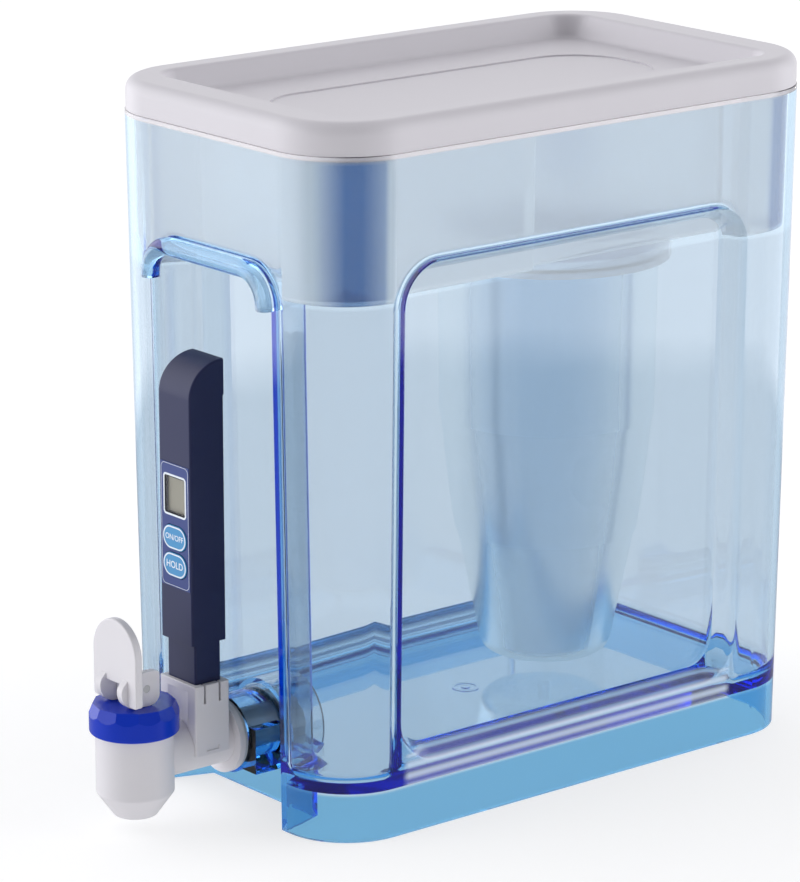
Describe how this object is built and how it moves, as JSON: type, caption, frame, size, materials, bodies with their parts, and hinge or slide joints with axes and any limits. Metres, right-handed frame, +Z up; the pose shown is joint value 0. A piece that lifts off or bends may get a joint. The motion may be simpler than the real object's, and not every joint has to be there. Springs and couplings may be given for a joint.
{
  "type": "gravity water filter dispenser",
  "caption": "Countertop gravity water filter: clear tank on an open skirt, hanging reservoir with filter cartridge, lid, front tap and docked pen-shaped water meter.",
  "frame": {"origin": "on the table, under the middle of the space that the whole object takes up", "axes": "+Z up, the tap faces -Y, +X to the right when the tap faces the viewer"},
  "size_m": [0.1482, 0.3056, 0.2772],
  "materials": {
    "tank": "clear blue-tinted copolyester",
    "reservoir": "milky translucent",
    "lid": "satin off-white",
    "filter_shell": "milky translucent",
    "filter_blue": "gloss blue",
    "silicone": "soft white silicone",
    "screen": "fine woven mesh",
    "foam": "open foam",
    "carbon": "granules",
    "resin": "resin beads",
    "membrane": "felt",
    "tap_white": "satin white",
    "tap_blue": "high gloss cobalt blue",
    "stem_white": "white acetal",
    "pin_steel": "ground steel",
    "black_rubber": "black rubber",
    "meter_navy": "satin dark navy",
    "panel_blue": "printed film",
    "window": "clear window",
    "display": "liquid crystal display",
    "zebra": "striped connector",
    "button_blue": "printed soft button",
    "key_rubber": "conductive key pad",
    "board": "circuit board",
    "cell_steel": "bright steel",
    "tray_black": "black plastic",
    "contact_metal": "spring strip",
    "probe_metal": "bright metal"
  },
  "bodies": {
    "vessel": {"tank": "tank", "tap_body": "tap_white", "tap_collar": "tap_blue", "tap_outer_washer": "silicone", "tap_inner_washer": "black_rubber", "tap_nut": "tap_white", "meter_dock": "tap_white"},
    "reservoir_body": {"reservoir": "reservoir"},
    "cartridge": {"filter_housing": "filter_shell", "filter_cap": "filter_blue", "filter_seal": "silicone", "filter_coarse_screen": "screen", "filter_foam": "foam", "filter_carbon": "carbon", "filter_resin": "resin", "filter_fine_screen": "screen", "filter_membrane": "membrane"},
    "lid_body": {"lid": "lid"},
    "valve": {"valve_stem": "stem_white", "seat_cup": "silicone", "handle_pin": "pin_steel"},
    "handle": {"tap_handle": "tap_white"},
    "meter": {"meter_body": "meter_navy", "meter_panel": "panel_blue", "meter_window": "window", "meter_display": "display", "display_strip": "zebra", "meter_key_pad": "key_rubber", "meter_board": "board", "cell_lower": "cell_steel", "cell_upper": "cell_steel", "cell_tray": "tray_black", "cell_contacts": "contact_metal", "probe_carrier": "tray_black", "probe_pin_left": "probe_metal", "probe_pin_right": "probe_metal"},
    "meter_cap_body": {"meter_cap": "meter_navy"},
    "on_button": {"meter_on_button": "button_blue"},
    "hold_button": {"meter_hold_button": "button_blue"}
  },
  "joints": [
    {"name": "reservoir_lift", "type": "slide", "parent": "vessel", "child": "reservoir_body", "axis": [0, 0, 1], "range_m": [0, 0.25]},
    {"name": "lid_lift", "type": "slide", "parent": "reservoir_body", "child": "lid_body", "axis": [0, 0, 1], "range_m": [0, 0.1]},
    {"name": "filter_turn", "type": "hinge", "parent": "reservoir_body", "child": "cartridge", "pos_m": [0, 0.06943, 0.2], "axis": [0, 0, 1], "range_deg": [0, 90]},
    {"name": "valve_lift", "type": "slide", "parent": "vessel", "child": "valve", "axis": [0, 0, 1], "range_m": [0, 0.0028]},
    {"name": "handle_tilt", "type": "hinge", "parent": "valve", "child": "handle", "pos_m": [0, -0.13558, 0.058], "axis": [1, 0, 0], "range_deg": [0, 35], "stiffness_Nm_per_rad": 0.05, "springref_deg": -22.92},
    {"name": "meter_lift", "type": "slide", "parent": "vessel", "child": "meter", "axis": [0, 0, 1], "range_m": [0, 0.02]},
    {"name": "meter_cap_pull", "type": "slide", "parent": "meter", "child": "meter_cap_body", "axis": [0, 0, 1], "range_m": [0, 0.012]},
    {"name": "on_button_press", "type": "slide", "parent": "meter", "child": "on_button", "axis": [0, 1, 0], "range_m": [0, 0.0005], "stiffness_N_per_m": 400, "springref_m": -0.0005},
    {"name": "hold_button_press", "type": "slide", "parent": "meter", "child": "hold_button", "axis": [0, 1, 0], "range_m": [0, 0.0005], "stiffness_N_per_m": 400, "springref_m": -0.0005}
  ],
  "couplings": [
    {"joint": "handle_tilt", "follows": "valve_lift", "rad_per_m": 218}
  ]
}
